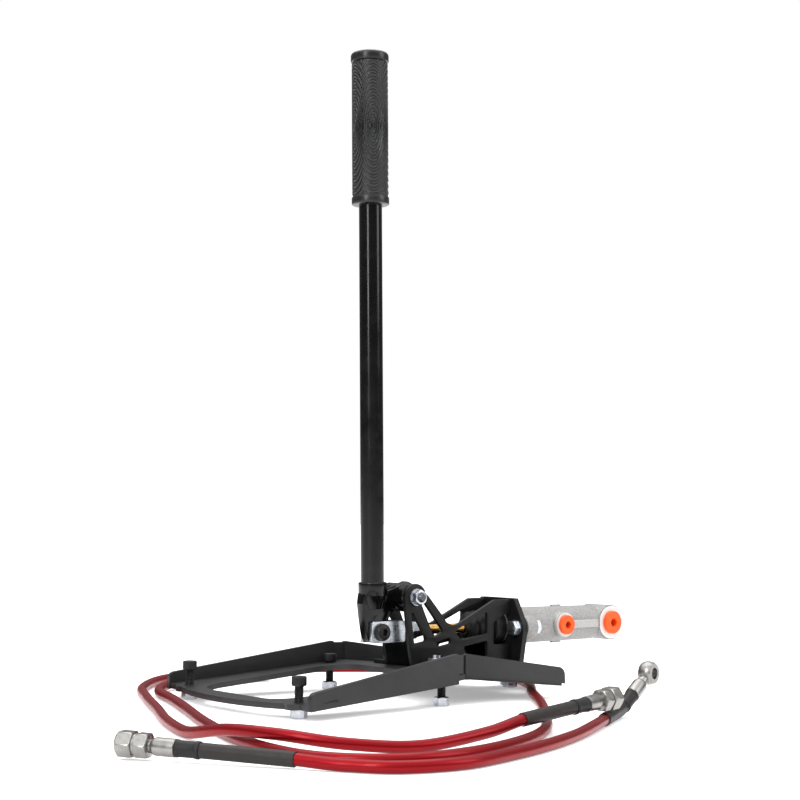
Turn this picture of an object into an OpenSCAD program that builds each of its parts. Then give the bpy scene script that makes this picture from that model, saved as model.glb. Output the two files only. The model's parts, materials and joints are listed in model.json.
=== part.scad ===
// Vertical hydraulic parking brake lever on a folded floor frame, with its two loose hoses.
// X runs along the master cylinder, Y across the frame to its far side, Z up from the floor.
// The datum of the sizes is midway between the four frame bolts. at_origin() moves it to the middle of the box.

/* [Floor frame] */
// thickness of the folded sheet
sheet_t = 5; // [4:0.5:6]
// spacing of the frame bolts along X
bolt_dx = 158; // [140:1:180]
// spacing of the frame bolts across Y
bolt_dy = 177; // [160:1:190]
// step of the rear bolts towards the middle, on each side
rear_step = 2.5; // [2:0.5:5]
// reach of the bowed front edge ahead of the datum
front_reach = 103; // [98:1:110]
// radius of the bowed front edge
bow_r = 300; // [260:5:340]
// half width over the flanges at the front corners
front_hw = 117; // [110:1:125]
// half width over the flanges at the fold line
waist_hw = 98; // [96:1:100]
// half width over the rear wings at their ends
rear_hw = 105; // [98:1:112]
// place of the cross fold
fold_x = 98; // [92:1:104]
// end of the rear wings
wing_end_x = 215; // [205:1:225]
// upward slope of the front half in degrees
front_slope = 4.7; // [3:0.1:6]
// downward slope of the rear half in degrees
rear_slope = 5.8; // [4:0.1:7]
// flange height at the front corners
flange_h_front = 15.5; // [12:0.5:20]
// flange height at the fold
flange_h_fold = 27; // [22:0.5:32]
// drop of the flange below the sheet at the fold
flange_drop = 3; // [1:0.5:4]
// wing height at the fold
wing_h_fold = 20.5; // [16:0.5:25]
// wing height at its end
wing_h_end = 16; // [13:0.5:20]
// lift of the wings above the underside of the sheet
wing_lift = 2.5; // [1:0.5:3]
// front end of the frame opening
open_front_x = -85; // [-87:1:-75]
// rear end of the frame opening
open_rear_x = 84; // [70:1:86]
// half width of the frame opening
open_hw = 70; // [60:1:74]
// corner radius of the frame opening
open_r = 30; // [20:1:40]

/* [Fasteners] */
// thread diameter of the large fasteners
bolt_d = 8; // [6:1:8]
// length of a frame bolt below its head
frame_bolt_l = 25; // [23:1:26]
// diameter of a socket head
socket_head_d = 13; // [12:0.5:14]
// height of a socket head
socket_head_h = 8; // [6:0.5:9]
// width of a nut across its flats
nut_af = 13; // [12:0.5:14]
// height of a frame nut
frame_nut_h = 8; // [6:0.5:9]
// height of a plain nut or hex head
nut_h = 6.5; // [5:0.5:7]
// washer diameter
washer_d = 16; // [15:0.5:17]
// washer thickness
washer_t = 1.6; // [1:0.2:2]
// radial clearance of a bolt in its hole
hole_gap = 0.5; // [0.2:0.1:0.6]

/* [Lever bracket] */
// thickness of the bracket plates
plate_t = 4; // [3:0.5:5]
// gap between the two side plates
plate_gap = 34; // [33:0.5:38]
// thickness of the end plate
end_t = 6; // [5:0.5:8]
// front face of the end plate
end_x = 222; // [218:1:226]
// height of the end plate's top edge above the floor
end_top_z = 90; // [87:1:94]
// half width of the end plate at its top
end_top_hw = 25; // [24:0.5:28]
// half width of the end plate at the bolts
end_mid_hw = 39; // [37:0.5:42]
// half width of the end plate at its foot
end_foot_hw = 31; // [28:0.5:34]
// pivot of the lever along X
pivot_x = 101.5; // [100:0.5:103]
// pivot of the lever above the floor
pivot_z = 94; // [92:0.5:96]
// radius of the side plates round the pivot
lobe_r = 12.5; // [11.5:0.5:14]

/* [Lever] */
// outer diameter of the lever tube
tube_d = 22; // [20:0.5:24]
// wall of the lever tube
tube_wall = 2; // [1.5:0.5:3]
// length of the lever tube
tube_l = 509; // [440:1:520]
// backward lean of the lever at rest in degrees
lever_lean = 1; // [0:0.5:2]
// place of the lever tube along X at the bottom of its socket
socket_x = 65.6; // [64:0.2:67]
// height of the bottom of the socket collar
socket_z = 95; // [94:0.5:96]
// diameter of the socket collar
collar_d = 27; // [26:0.5:29]
// height of the socket collar
collar_h = 13; // [11:0.5:16]
// thickness of the lever arm
arm_t = 9.6; // [8:0.2:10]
// outer diameter of the hub tube
hub_d = 25; // [23:0.5:27]
// length of the hub tube
hub_l = 28; // [26:0.5:29]
// grip diameter over its ribs
grip_d = 34.5; // [32:0.5:36]
// grip length
grip_l = 147; // [130:1:155]
// diameter of the collar at the top of the grip
grip_collar_d = 36.4; // [35:0.2:38]
// number of grip rings
grip_rings = 26; // [16:1:32]

/* [Linkage] */
// clevis pin ahead of the pivot
pin_dx = 31.5; // [30:0.5:33]
// clevis pin below the pivot
pin_dz = 32.5; // [31:0.5:34]
// clevis height
clevis_h = 20; // [18:0.5:21]
// clevis width
clevis_w = 18; // [17:0.5:19]
// clevis length behind the pin
clevis_l = 38; // [34:0.5:40]
// slot of the clevis
clevis_slot = 10.4; // [10.2:0.1:11]
// pushrod diameter
rod_d = 10; // [8:0.5:10]
// running clearance of a shaft in its hole
run_gap = 0.06; // [0.02:0.01:0.1]

/* [Master cylinder] */
// bore diameter
bore_d = 19; // [18:0.5:20]
// body diameter behind the flange
body_d = 36.6; // [34:0.2:38]
// flange thickness
flange_t = 13; // [10:0.5:15]
// spacing of the flange bolts
flange_dy = 57; // [56:0.5:60]
// inlet port behind the end plate's front face
inlet_dx = 74; // [70:1:80]
// outlet port behind the end plate's front face
outlet_dx = 142.5; // [138:0.5:146]
// inlet boss diameter
inlet_boss_d = 26; // [24:0.2:28]
// outlet boss diameter
outlet_boss_d = 36; // [35:0.2:38]
// distance of the inlet boss face from the cylinder axis
inlet_reach = 22; // [21:0.5:24]
// distance of the outlet boss face from the cylinder axis
outlet_reach = 19; // [18.5:0.5:22]
// inlet plug diameter
inlet_plug_d = 19.4; // [17:0.1:21]
// outlet plug diameter
outlet_plug_d = 23.4; // [22:0.1:25]
// height of the plugs above their bosses
plug_h = 4; // [3:0.5:5]
// piston length
piston_l = 40; // [36:1:44]

/* [Hoses] */
// hose diameter
hose_d = 9.2; // [8.8:0.2:9.2]
// diameter of the bare sleeves
sleeve_d = 11; // [10.6:0.2:12]
// sleeve length
sleeve_l = 70; // [60:1:76]
// ferrule diameter
ferrule_d = 13; // [12:0.5:14]
// swivel nut across its flats
swivel_af = 17.5; // [16:0.5:19]
// banjo diameter
banjo_d = 20; // [18:0.5:21]
// banjo eye diameter
eye_d = 10.1; // [10:0.1:10.5]

/* [Hidden] */
$fn = 64;
bolt_r = bolt_d / 2;
thread_gap = 0.05;
seat = 0.02;
nut_r = nut_af / 2 / cos(30);
x_front = -bolt_dx / 2;
x_rear = bolt_dx / 2;
y_bolt = bolt_dy / 2;
tan_f = tan(front_slope);
tan_r = tan(rear_slope);
// height of the sheet's underside at the fold line, with the front resting on the frame nuts
fold_z = frame_nut_h + seat + (fold_x - x_front + nut_r) * tan_f;
top_rise_f = sheet_t / cos(front_slope);
top_rise_r = sheet_t / cos(rear_slope);
function under_f(x) = fold_z - (fold_x - x) * tan_f;
function under_r(x) = fold_z - (x - fold_x) * tan_r;
function top_r(x) = under_r(x) + top_rise_r;
// the rear heads sit on the sheet, and every frame bolt has its nut on the floor
head_z = under_f(x_rear + socket_head_d / 2) + top_rise_f + seat;
tail_x = fold_x + (fold_z - frame_nut_h - seat) / tan_r - nut_r;
tail_hw = 24;
tail_end_x = tail_x + 17;
y_rear = y_bolt - rear_step;
frame_spots = [[x_front, -y_bolt], [x_front, y_bolt], [x_rear, -y_rear], [x_rear, y_rear], [tail_x, 0]];
side_y = plate_gap / 2;
side_out = side_y + plate_t;
foot_w = 26;
foot_l = 26;
foot_y = side_out + 13;
foot_front_d = 16;
foot_rear_d = 108;
pin_x = pivot_x - pin_dx;
axis_z = pivot_z - pin_dz;
end_back = end_x + end_t;
bore_r = bore_d / 2;
body_r = body_d / 2;
spigot_r = 17;
spigot_l = 7;
spigot_x = end_x - spigot_l;
inlet_x = end_x + inlet_dx;
outlet_x = end_x + outlet_dx;
inlet_hole_d = inlet_plug_d - 6;
outlet_hole_d = outlet_plug_d - 8;
circlip_x = spigot_x + 2.5;
stop_x = circlip_x + 1.6;
stop_t = 1.5;
piston_x = stop_x + stop_t + 0.1;
cup_w = 4;
spring_x = piston_x + piston_l + 0.1;
bore_end_x = end_x + 112;
ball_r = rod_d / 2;
ball_x = piston_x + 11;
rod_r = rod_d / 2;
hub_r = hub_d / 2;
sleeve_tube_r = bolt_r + 2;
bush_r = sleeve_tube_r + 2;
bush_flange_t = 1.5;
slot_x = pin_x + 13.5;
clevis_end_x = pin_x + clevis_l;
jam_h = 8;
jam_af = 16;
screw_r = bolt_r;
screw_head_h = 6;
clevis_nut_h = 5;
hose_r = hose_d / 2;
// lengths of the fittings, measured back from the mouth of a hose end
swivel_l = 24;
ferrule_a = 26;
ferrule_l = 18;
collar_l = 18.5;
hose_start = ferrule_a + ferrule_l;
short_run = hose_start + collar_l;
long_run = short_run + sleeve_l;
eye_h = 12;
x_min = -front_reach;
x_max = outlet_x + outlet_boss_d / 2;
origin_x = (x_min + x_max) / 2;
// hose ends: place of the mouth, and the way the fitting points as turn about Z and rise, both in degrees
end_1 = [[-313.6, -206, 11], 124, 2];
end_2 = [[113, -270, 22.3], 12, 3];
end_3 = [[206.5, -225.5, 39], 15, 29];
end_4 = [[80, 190, 11], 10, 2];
hose_ends = [end_1, end_2, end_3, end_4];
// hand chosen routes on the floor, from one hose end to the other
route_a = [[-221, -345, 4.6], [-196, -374, 4.6], [-150, -385, 4.6], [-95, -372, 4.6], [-40, -352, 4.6],
    [15, -325, 4.6], [70, -292, 5.6], [115, -262, 5.7]];
route_b = [[-60, -305, 9.5], [-125, -306, 5], [-178, -289, 9], [-211, -252, 14.2], [-224, -205, 13.5],
    [-221, -145, 5], [-198, -75, 4.6], [-162, 4, 4.6], [-126, 85, 4.6], [-86, 162, 4.6], [-20, 228, 4.6],
    [75, 258, 4.6], [160, 244, 4.6], [235, 195, 4.6], [277, 120, 4.6], [278, 45, 4.6], [243, -24, 4.6],
    [196, -80, 4.6], [140, -152, 4.6], [78, -224, 4.6], [14, -290, 4.6], [-50, -330, 4.6], [-120, -352, 4.6],
    [-178, -347, 4.6], [-215, -308, 4.6], [-219, -250, 4.6], [-203, -175, 4.6], [-176, -95, 4.6],
    [-143, -14, 4.6], [-114, 60, 4.6], [-90, 125, 5]];

// moves the datum of the sizes to the middle of the whole part
module at_origin() translate([-origin_x, 0, 0]) children();

// places its children on both sides of the middle plane
module both_sides() {
    children();
    mirror([0, 1, 0]) children();
}

// lays a shape drawn in X and Z upright, from y outwards to y + depth
module upright(y, depth) translate([0, y + depth, 0]) rotate([90, 0, 0]) linear_extrude(depth) children();

// local frames of the two halves of the sheet, with the fold line as their Y axis
module on_front() translate([fold_x, 0, fold_z]) rotate([0, -front_slope, 0]) children();
module on_rear() translate([fold_x, 0, fold_z]) rotate([0, rear_slope, 0]) children();

module nut(af, h, bore_r) difference() {
    cylinder(d = af / cos(30), h = h, $fn = 6);
    translate([0, 0, -1]) cylinder(r = bore_r, h = h + 2);
}

module washer(d, t, bore_r) difference() {
    cylinder(d = d, h = t);
    translate([0, 0, -1]) cylinder(r = bore_r, h = t + 2);
}

// socket head screw, its shank down from the origin and its head above
module socket_screw(head_d, head_h, r, l) difference() {
    union() {
        cylinder(d = head_d, h = head_h - 0.6);
        translate([0, 0, head_h - 0.6]) cylinder(d1 = head_d, d2 = head_d - 1.2, h = 0.6);
        translate([0, 0, -l]) cylinder(r = r, h = l + 1);
    }
    translate([0, 0, head_h * 0.5]) cylinder(d = r * 1.5 / cos(30), h = head_h, $fn = 6);
}

// hex bolt, its shank down from the origin and its head above
module hex_bolt(af, head_h, r, l) {
    cylinder(d = af / cos(30), h = head_h, $fn = 6);
    translate([0, 0, -l]) cylinder(r = r, h = l + 1);
}

// rectangle with round corners, from x0 to x1 and half width hw
module round_slot(x0, x1, hw, r) {
    translate([x0 + r, -hw]) square([x1 - x0 - 2 * r, 2 * hw]);
    translate([x0, r - hw]) square([x1 - x0, 2 * (hw - r)]);
    for (x = [x0 + r, x1 - r], y = [r - hw, hw - r]) translate([x, y]) circle(r, $fn = 96);
}

module front_outline() {
    intersection() {
        polygon([[-140, -front_hw - 5], [fold_x, 1 - waist_hw], [fold_x, waist_hw - 1], [-140, front_hw + 5]]);
        translate([bow_r - front_reach, 0]) circle(bow_r, $fn = 180);
    }
    both_sides() {
        translate([x_front, y_bolt]) circle(socket_head_d);
        translate([x_front - 7, y_bolt]) square([30, front_hw - y_bolt - 1]);
    }
}

module rear_outline() {
    hw = waist_hw - 1.5 - sheet_t;
    end_hw = rear_hw + 1.5 - sheet_t;
    polygon([[0, -hw], [wing_end_x - fold_x, -end_hw], [wing_end_x - fold_x, end_hw], [0, hw]]);
    translate([wing_end_x - fold_x - 1, -tail_hw]) square([tail_end_x - wing_end_x - 9, 2 * tail_hw]);
    translate([0, 10 - tail_hw]) square([tail_end_x - fold_x, 2 * (tail_hw - 10)]);
    for (y = [10 - tail_hw, tail_hw - 10]) translate([tail_end_x - fold_x - 10, y]) circle(10);
}

// points of a round corner about c, from angle a to angle b
function corner(c, r, a, b) = [for (i = [0 : 6]) c + r * [cos(a + (b - a) * i / 6), sin(a + (b - a) * i / 6)]];

// upright strip of sheet from plan point p to plan point q, outer face on the line between them; its top corners
// have the radii r_p and r_q
module flange(p, q, low_p, low_q, h_p, h_q, r_p, r_q) {
    run = norm(q - p);
    lean = atan2(low_q + h_q - low_p - h_p, run);
    translate([p[0], p[1], 0]) rotate([0, 0, atan2(q[1] - p[1], q[0] - p[0])]) upright(-sheet_t, sheet_t)
        polygon(concat([[0, low_p], [run, low_q]],
            corner([run - r_q, low_q + h_q - r_q], r_q, 0, 90 + lean),
            corner([r_p, low_p + h_p - r_p], r_p, 90 + lean, 180)));
}

module base_frame() color([0.07, 0.07, 0.08]) at_origin() difference() {
    union() {
        on_front() linear_extrude(sheet_t) translate([-fold_x, 0]) front_outline();
        on_rear() linear_extrude(sheet_t) translate([-0.5, 0]) rear_outline();
        both_sides() {
            flange([x_front - 7, front_hw], [fold_x - 8, waist_hw], under_f(x_front - 7),
                under_f(fold_x - 8) - flange_drop, flange_h_front, flange_h_fold, 6, 2);
            flange([fold_x + 2, waist_hw - 3], [wing_end_x, rear_hw], under_r(fold_x + 2) + wing_lift,
                under_r(wing_end_x) + wing_lift, wing_h_fold, wing_h_end, 2, 8);
        }
    }
    on_front() translate([-fold_x, 0, -5]) linear_extrude(sheet_t + 10)
        round_slot(open_front_x, open_rear_x, open_hw, open_r);
    for (p = frame_spots) translate([p[0], p[1], -5]) cylinder(r = bolt_r + hole_gap, h = 50);
    for (x = [foot_front_d, foot_rear_d]) both_sides()
        on_rear() translate([x, foot_y, -5]) cylinder(r = bolt_r + hole_gap, h = sheet_t + 10);
}

module frame_bolts() color([0.08, 0.08, 0.09]) at_origin() for (p = frame_spots)
    translate([p[0], p[1], head_z]) socket_screw(socket_head_d, socket_head_h, bolt_r, frame_bolt_l);

module frame_nuts() color([0.8, 0.81, 0.83]) at_origin() for (p = frame_spots)
    translate([p[0], p[1], 0]) nut(nut_af, frame_nut_h, bolt_r + thread_gap);

// truss of a side plate in X and Z, standing on the rear half of the sheet
module side_outline() {
    valley = [146.7, axis_z + 5.2];
    difference() {
        union() {
            translate([pivot_x, pivot_z]) circle(lobe_r);
            polygon([[pivot_x - lobe_r, pivot_z], [96, top_r(96)], [end_x, top_r(end_x)], [end_x, end_top_z - 1],
                [202, end_top_z - 1], [182, end_top_z - 8], [159, axis_z + 10.3], valley, [134.5, axis_z + 13.9],
                [pivot_x + lobe_r * 0.83, pivot_z + lobe_r * 0.56]]);
        }
        polygon([[96.5, 79], [100, 51], [115, 53]]);
        polygon([[112, 87], [124.5, 55.5], [136, 61.5]]);
        polygon([[152.5, 62], [190.8, 76], [190.8, 58], [156.4, 53.3]]);
        polygon([[159, 50], [190.8, 54], [190.8, 36], [169.5, 39.5]]);
        polygon([[128, 45.5], [128, 49.3], [145, 51.3], [145, 48.2]]);
        translate([199, axis_z - 16]) square([end_x - 198, 31]);
    }
}

// side plate with its two feet, on the far side for s = 1 and on the near side for s = -1
module side_plate(s) difference() {
    union() {
        upright(s > 0 ? side_y : -side_out, plate_t) side_outline();
        for (x = [foot_front_d, foot_rear_d]) on_rear()
            translate([x - foot_l / 2, s > 0 ? side_out - 1 : -side_out - foot_w, sheet_t])
                cube([foot_l, foot_w + 1, plate_t]);
    }
    translate([pivot_x, 50, pivot_z]) rotate([90, 0, 0]) cylinder(r = bolt_r + hole_gap, h = 100);
    for (x = [foot_front_d, foot_rear_d]) on_rear() translate([x, s * foot_y, 0])
        cylinder(r = bolt_r + hole_gap, h = 20);
}

module bracket_near() color([0.16, 0.16, 0.17]) at_origin() side_plate(-1);

module bracket_far() color([0.16, 0.16, 0.17]) at_origin() side_plate(1);

module end_plate() color([0.13, 0.13, 0.14]) at_origin() difference() {
    foot_z = top_r(end_x) + seat;
    translate([end_x, 0, 0]) rotate([90, 0, 90]) linear_extrude(end_t)
        polygon([[-end_top_hw, end_top_z], [-end_mid_hw, axis_z + 3], [-end_mid_hw, axis_z - 3],
            [-end_foot_hw, foot_z], [end_foot_hw, foot_z], [end_mid_hw, axis_z - 3], [end_mid_hw, axis_z + 3],
            [end_top_hw, end_top_z]]);
    translate([end_x - 1, 0, axis_z]) rotate([0, 90, 0]) cylinder(r = spigot_r + 0.2, h = end_t + 2);
    both_sides() translate([end_x - 1, flange_dy / 2, axis_z]) rotate([0, 90, 0])
        cylinder(r = bolt_r + hole_gap, h = end_t + 2);
}

module bracket_bolts() color([0.78, 0.79, 0.81]) at_origin() both_sides()
    for (x = [foot_front_d, foot_rear_d]) on_rear() translate([x, foot_y, -seat]) rotate([180, 0, 0])
        hex_bolt(nut_af, 5.3, bolt_r, sheet_t + plate_t + nut_h + 3);

module bracket_nuts() color([0.8, 0.81, 0.83]) at_origin() both_sides()
    for (x = [foot_front_d, foot_rear_d]) on_rear() translate([x, foot_y, sheet_t + plate_t + seat])
        nut(nut_af, nut_h, bolt_r + thread_gap);

// stack on the pivot axis, seen along -Y: the near side is at negative values
module on_pivot(y) translate([pivot_x, y, pivot_z]) rotate([-90, 0, 0]) children();

module pivot_bolt() color([0.75, 0.76, 0.78]) at_origin() on_pivot(side_out + washer_t + seat)
    hex_bolt(nut_af, 5.3, bolt_r, 2 * (side_out + washer_t) + nut_h + 3);

module pivot_washers() color([0.8, 0.81, 0.83]) at_origin() for (y = [side_out, -side_out - washer_t])
    on_pivot(y) washer(washer_d, washer_t, bolt_r + hole_gap);

module pivot_nut() color([0.8, 0.81, 0.83]) at_origin() on_pivot(-side_out - washer_t - nut_h - seat)
    nut(nut_af, nut_h, bolt_r + thread_gap);

module pivot_sleeve() color([0.6, 0.61, 0.63]) at_origin() on_pivot(-side_y)
    washer(2 * sleeve_tube_r, plate_gap, bolt_r + 0.1);

module pivot_bushes() color([0.72, 0.52, 0.25]) at_origin() both_sides() on_pivot(hub_l / 2 - 11) difference() {
    union() {
        cylinder(r = bush_r - seat, h = 11 + bush_flange_t);
        translate([0, 0, 11]) cylinder(r = hub_r - 1.5, h = bush_flange_t);
    }
    translate([0, 0, -1]) cylinder(r = sleeve_tube_r + run_gap, h = 15);
}

// frame of the lever tube, its origin at the bottom of the socket collar
module on_lever() translate([socket_x, 0, socket_z]) rotate([0, -lever_lean, 0]) children();

module lever_arm() color([0.1, 0.1, 0.11]) at_origin() difference() {
    union() {
        upright(-arm_t / 2, arm_t) {
            translate([pivot_x, pivot_z]) circle(hub_r + 3);
            translate([pin_x, axis_z]) circle(10.5);
            polygon([[socket_x - 14.5, socket_z + 1], [pin_x - 10.4, axis_z - 1], [pin_x + 10.4, axis_z - 1],
                [pin_x + 11.8, axis_z + 13], [pivot_x - 8, pivot_z - 11], [pivot_x, pivot_z],
                [pivot_x, pivot_z + hub_r + 3], [socket_x + 12, socket_z + 6]]);
        }
        on_pivot(-hub_l / 2) cylinder(r = hub_r, h = hub_l);
        on_lever() {
            translate([0, 0, -12]) cylinder(d = tube_d + 1, h = 13);
            cylinder(d = collar_d, h = collar_h - 1);
            translate([0, 0, collar_h - 1]) cylinder(d1 = collar_d, d2 = collar_d - 2, h = 1);
        }
    }
    on_pivot(-hub_l) cylinder(r = bush_r, h = 2 * hub_l);
    translate([pin_x, 20, axis_z]) rotate([90, 0, 0]) cylinder(r = screw_r + run_gap, h = 40);
    on_lever() translate([0, 0, 3]) cylinder(d = tube_d + 2 * thread_gap, h = 40);
}

module lever_tube() color([0.05, 0.05, 0.055]) at_origin() on_lever() translate([0, 0, 3 + seat]) difference() {
    cylinder(d = tube_d, h = tube_l);
    translate([0, 0, -1]) cylinder(d = tube_d - 2 * tube_wall, h = tube_l + 2);
}

// push-on grip: closed top, smooth collars at both ends and rings between them
module grip() color([0.12, 0.12, 0.125]) at_origin() on_lever() {
    cap = 6;
    base = 3 + tube_l + cap - grip_l;
    r = grip_d / 2;
    rc = grip_collar_d / 2;
    pitch = (grip_l - 22) / grip_rings;
    inner = tube_d / 2 + thread_gap;
    rings = [for (i = [0 : grip_rings - 1], k = [0 : 3])
        [r - (k == 1 || k == 2 ? 0.7 : 0), 10 + (i + [0.5, 0.58, 0.92, 1][k]) * pitch]];
    translate([0, 0, base]) rotate_extrude() polygon(concat(
        [[inner, 0], [r + 0.1, 0], [r + 0.6, 0.6], [r + 0.6, 7], [r, 7.8]], rings,
        [[r, grip_l - 9.6], [rc, grip_l - 9], [rc, grip_l - 3.4]],
        [for (a = [15 : 15 : 90]) [rc - 3.4 + 3.4 * cos(a), grip_l - 3.4 + 3.4 * sin(a)]],
        [[0, grip_l], [0, grip_l - cap + seat * 2], [inner, grip_l - cap + seat * 2]]));
}

module clevis() color([0.82, 0.82, 0.8]) at_origin() difference() {
    union() {
        upright(-clevis_w / 2, clevis_w) {
            translate([pin_x - 11.5, axis_z + 2 - clevis_h / 2]) square([clevis_l + 1.5, clevis_h - 4]);
            translate([pin_x - 9.5, axis_z - clevis_h / 2]) square([clevis_l - 2.5, clevis_h]);
            for (x = [pin_x - 9.5, pin_x + clevis_l - 12], z = [2 - clevis_h / 2, clevis_h / 2 - 2])
                translate([x, axis_z + z]) circle(2);
        }
        translate([pin_x + clevis_l - 11, 0, axis_z]) rotate([0, 90, 0]) cylinder(d = clevis_w - 2, h = 11);
    }
    translate([pin_x - 20, -clevis_slot / 2, axis_z - 20]) cube([slot_x - pin_x + 20, clevis_slot, 40]);
    translate([pin_x, 20, axis_z]) rotate([90, 0, 0]) cylinder(r = screw_r + thread_gap, h = 40);
    translate([slot_x - 1, 0, axis_z]) rotate([0, 90, 0]) cylinder(r = rod_r + thread_gap, h = 40);
}

module clevis_screw() color([0.07, 0.07, 0.08]) at_origin() translate([pin_x, -clevis_w / 2 - seat, axis_z])
    rotate([90, 0, 0]) socket_screw(socket_head_d + 1, screw_head_h, screw_r, clevis_w + clevis_nut_h + 1);

module clevis_nut() color([0.08, 0.08, 0.09]) at_origin() translate([pin_x, clevis_w / 2 + seat, axis_z])
    rotate([-90, 0, 0]) nut(nut_af, clevis_nut_h, screw_r + thread_gap);

module jam_nut() color([0.82, 0.82, 0.8]) at_origin() translate([clevis_end_x + seat, 0, axis_z])
    rotate([0, 90, 0]) nut(jam_af, jam_h, rod_r + thread_gap);

module pushrod() color([0.78, 0.62, 0.3]) at_origin() {
    translate([slot_x + 1, 0, axis_z]) rotate([0, 90, 0]) cylinder(r = rod_r, h = ball_x - slot_x - 1);
    translate([ball_x, 0, axis_z]) sphere(ball_r);
}

// cylinder frame: local Z runs along the bore from the given place
module on_bore(x) translate([x, 0, axis_z]) rotate([0, 90, 0]) children();

// boss frame: local Z points to the near side from the cylinder axis
module on_port(x) translate([x, 0, axis_z]) rotate([90, 0, 0]) children();

module cylinder_body() color([0.62, 0.63, 0.65]) at_origin() difference() {
    union() {
        on_bore(spigot_x) cylinder(r = spigot_r, h = spigot_l + end_t + 2);
        on_bore(end_back) cylinder(r = body_r + 1.5, h = flange_t);
        translate([end_back, 0, axis_z]) rotate([90, 0, 90]) linear_extrude(flange_t) {
            for (y = [-flange_dy / 2, flange_dy / 2]) translate([y, 0]) circle(12);
            translate([-flange_dy / 2, -12]) square([flange_dy, 24]);
        }
        on_bore(end_back) cylinder(r1 = body_r, r2 = body_r - 0.8, h = outlet_x - end_back - 14);
        on_bore(outlet_x - 14.1) cylinder(r1 = body_r - 0.8, r2 = body_r - 3, h = 4);
        on_bore(outlet_x - 11) cylinder(r = body_r - 3, h = 11);
        on_port(inlet_x) cylinder(d = inlet_boss_d, h = inlet_reach - 1);
        on_port(inlet_x) cylinder(d = inlet_boss_d - 2, h = inlet_reach);
        on_port(outlet_x) translate([0, 0, -15]) cylinder(d = outlet_boss_d, h = 14 + outlet_reach);
        on_port(outlet_x) cylinder(d = outlet_boss_d - 2, h = outlet_reach);
        translate([inlet_x, 0.4 - outlet_reach, axis_z - 5]) cube([outlet_x - inlet_x, outlet_reach - 0.4, 8]);
        for (z = [body_r - 1, -body_r + 1]) translate([inlet_x, 0, axis_z + z]) rotate([0, 90, 0])
            cylinder(r = 2.2, h = 12);
    }
    on_bore(spigot_x - 1) cylinder(r = bore_r, h = bore_end_x - spigot_x + 1);
    on_bore(spigot_x + 2.3) cylinder(r = bore_r + 1, h = 1.4);
    on_port(inlet_x) cylinder(d = inlet_hole_d, h = 40);
    on_port(outlet_x) cylinder(d = outlet_hole_d, h = 40);
    on_bore(bore_end_x - 1) cylinder(r = 3, h = outlet_x - bore_end_x + 1);
    both_sides() translate([end_back - 1, flange_dy / 2, axis_z]) rotate([0, 90, 0])
        cylinder(r = bolt_r + hole_gap, h = flange_t + 2);
}

module cylinder_bolts() color([0.8, 0.81, 0.83]) at_origin() both_sides()
    translate([end_x - washer_t - seat, flange_dy / 2, axis_z]) rotate([0, -90, 0])
        hex_bolt(nut_af, 5.3, bolt_r, washer_t + end_t + flange_t + nut_h + 3);

module cylinder_washers() color([0.8, 0.81, 0.83]) at_origin() both_sides()
    translate([end_x - washer_t, flange_dy / 2, axis_z]) rotate([0, 90, 0])
        washer(washer_d, washer_t, bolt_r + hole_gap);

module cylinder_nuts() color([0.82, 0.83, 0.84]) at_origin() both_sides()
    translate([end_back + flange_t + seat, flange_dy / 2, axis_z]) rotate([0, 90, 0])
        nut(nut_af, nut_h, bolt_r + thread_gap);

// transport plug: cap on a boss of the given reach, hollow shank in the port, hex socket in the cap
module plug(d, hole_d, reach) difference() {
    union() {
        translate([0, 0, reach + seat]) cylinder(d = d, h = plug_h - 0.8);
        translate([0, 0, reach + seat + plug_h - 0.8]) cylinder(d1 = d, d2 = d - 1.6, h = 0.8);
        translate([0, 0, reach - 8]) cylinder(d = hole_d - 2 * thread_gap, h = 9);
    }
    translate([0, 0, reach - 6]) cylinder(d = hole_d * 0.62, h = 30, $fn = 6);
}

module inlet_plug() color([0.9, 0.25, 0.08]) at_origin() on_port(inlet_x)
    plug(inlet_plug_d, inlet_hole_d, inlet_reach);

module outlet_plug() color([0.92, 0.4, 0.12]) at_origin() on_port(outlet_x)
    plug(outlet_plug_d, outlet_hole_d, outlet_reach);

module piston() color([0.7, 0.71, 0.72]) at_origin() difference() {
    on_bore(piston_x) cylinder(r = bore_r - run_gap, h = piston_l);
    on_bore(piston_x - 1) cylinder(r = rod_r + 2.2, h = ball_x + ball_r + 0.3 - piston_x + 1);
    for (d = [18, piston_l - 8]) on_bore(piston_x + d) difference() {
        cylinder(r = bore_r + 1, h = cup_w);
        translate([0, 0, -1]) cylinder(r = bore_r - 3, h = cup_w + 2);
    }
}

// lip seal in a piston groove
module lip_seal(x) on_bore(x + seat) difference() {
    cylinder(r = bore_r - run_gap, h = cup_w - 2 * seat);
    translate([0, 0, -1]) cylinder(r = bore_r - 3 + seat, h = cup_w + 2);
    translate([0, 0, cup_w - 1.5]) difference() {
        cylinder(r = bore_r - 1, h = 3);
        translate([0, 0, -1]) cylinder(r = bore_r - 2, h = 5);
    }
}

module primary_cup() color([0.1, 0.1, 0.1]) at_origin() lip_seal(piston_x + piston_l - 8);

module secondary_cup() color([0.1, 0.1, 0.1]) at_origin() lip_seal(piston_x + 18);

module stop_washer() color([0.7, 0.7, 0.72]) at_origin() on_bore(stop_x)
    washer(bore_d - 0.2, stop_t, rod_r + 2.2);

module circlip() color([0.3, 0.3, 0.32]) at_origin() on_bore(circlip_x) difference() {
    washer(bore_d + 1.6, 1.2, bore_r - 1.8);
    translate([0, -3, -1]) cube([20, 6, 4]);
}

// ring of points round p at right angles to the way d
function ring(p, d, r, n) =
    let (u = d / norm(d), s = abs(u[2]) < 0.9 ? cross([0, 0, 1], u) : cross([1, 0, 0], u), a = s / norm(s),
        b = cross(u, a))
    [for (i = [0 : n - 1]) p + r * (cos(360 * i / n) * a + sin(360 * i / n) * b)];

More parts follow.
